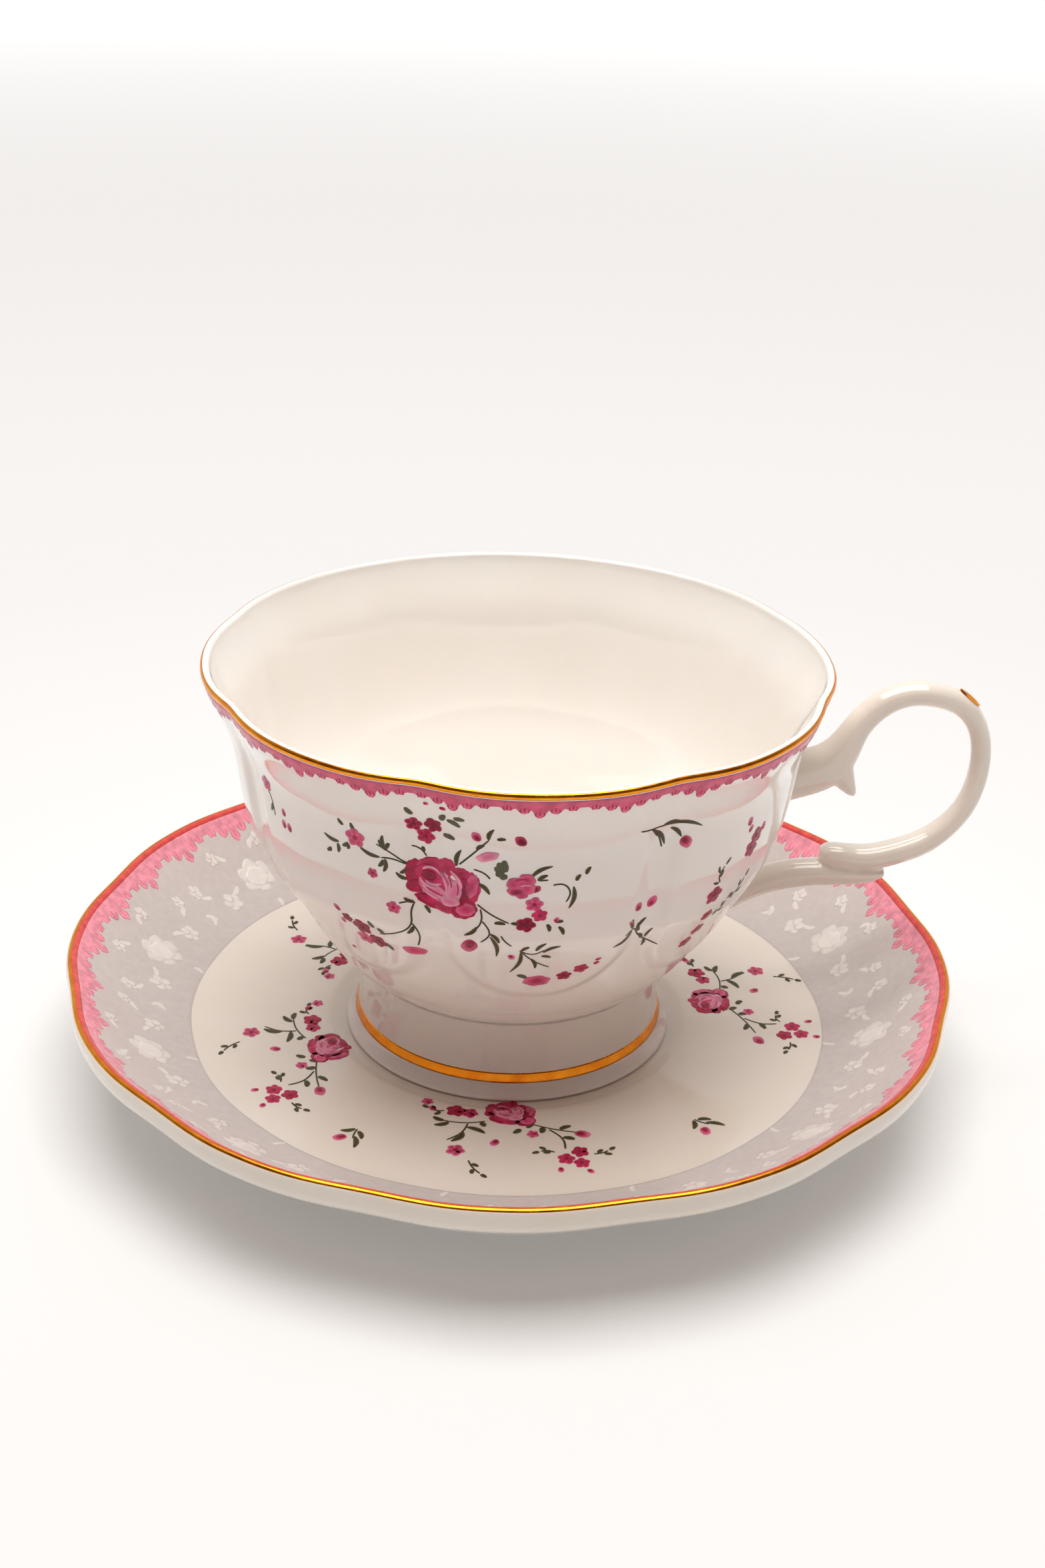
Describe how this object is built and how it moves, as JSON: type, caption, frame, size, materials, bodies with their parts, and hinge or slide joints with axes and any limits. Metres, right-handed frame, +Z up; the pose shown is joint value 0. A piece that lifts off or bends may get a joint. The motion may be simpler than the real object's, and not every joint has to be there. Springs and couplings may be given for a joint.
{
  "type": "teacup and saucer",
  "caption": "Footed porcelain teacup with scalloped rim, open scroll handle and matching scalloped saucer, gilt lines and rose sprays.",
  "frame": {"origin": "centre of the saucer's foot ring, on the table, on the axis of cup and saucer", "axes": "+Z up along the axis of the cup, +X along the cup's handle, +Y completes a right-handed frame"},
  "size_m": [0.1552, 0.1498, 0.0738],
  "materials": {
    "saucer_porcelain": "gloss glaze",
    "cup_porcelain": "gloss glaze",
    "gilding": "polished gold lustre",
    "decoration": "transfer print under a gloss coat"
  },
  "bodies": {
    "saucer": {"saucer": "saucer_porcelain", "saucer_rim_gilding": "gilding"},
    "cup": {"cup_foot": "cup_porcelain", "cup_foot_gilding": "gilding", "cup_bowl": "cup_porcelain", "cup_rim_gilding": "gilding", "cup_handle": "cup_porcelain", "handle_gilding": "gilding"}
  },
  "joints": [
    {"name": "cup_lift", "type": "slide", "parent": "saucer", "child": "cup", "axis": [0, 0, 1], "range_m": [0, 0.09]}
  ]
}
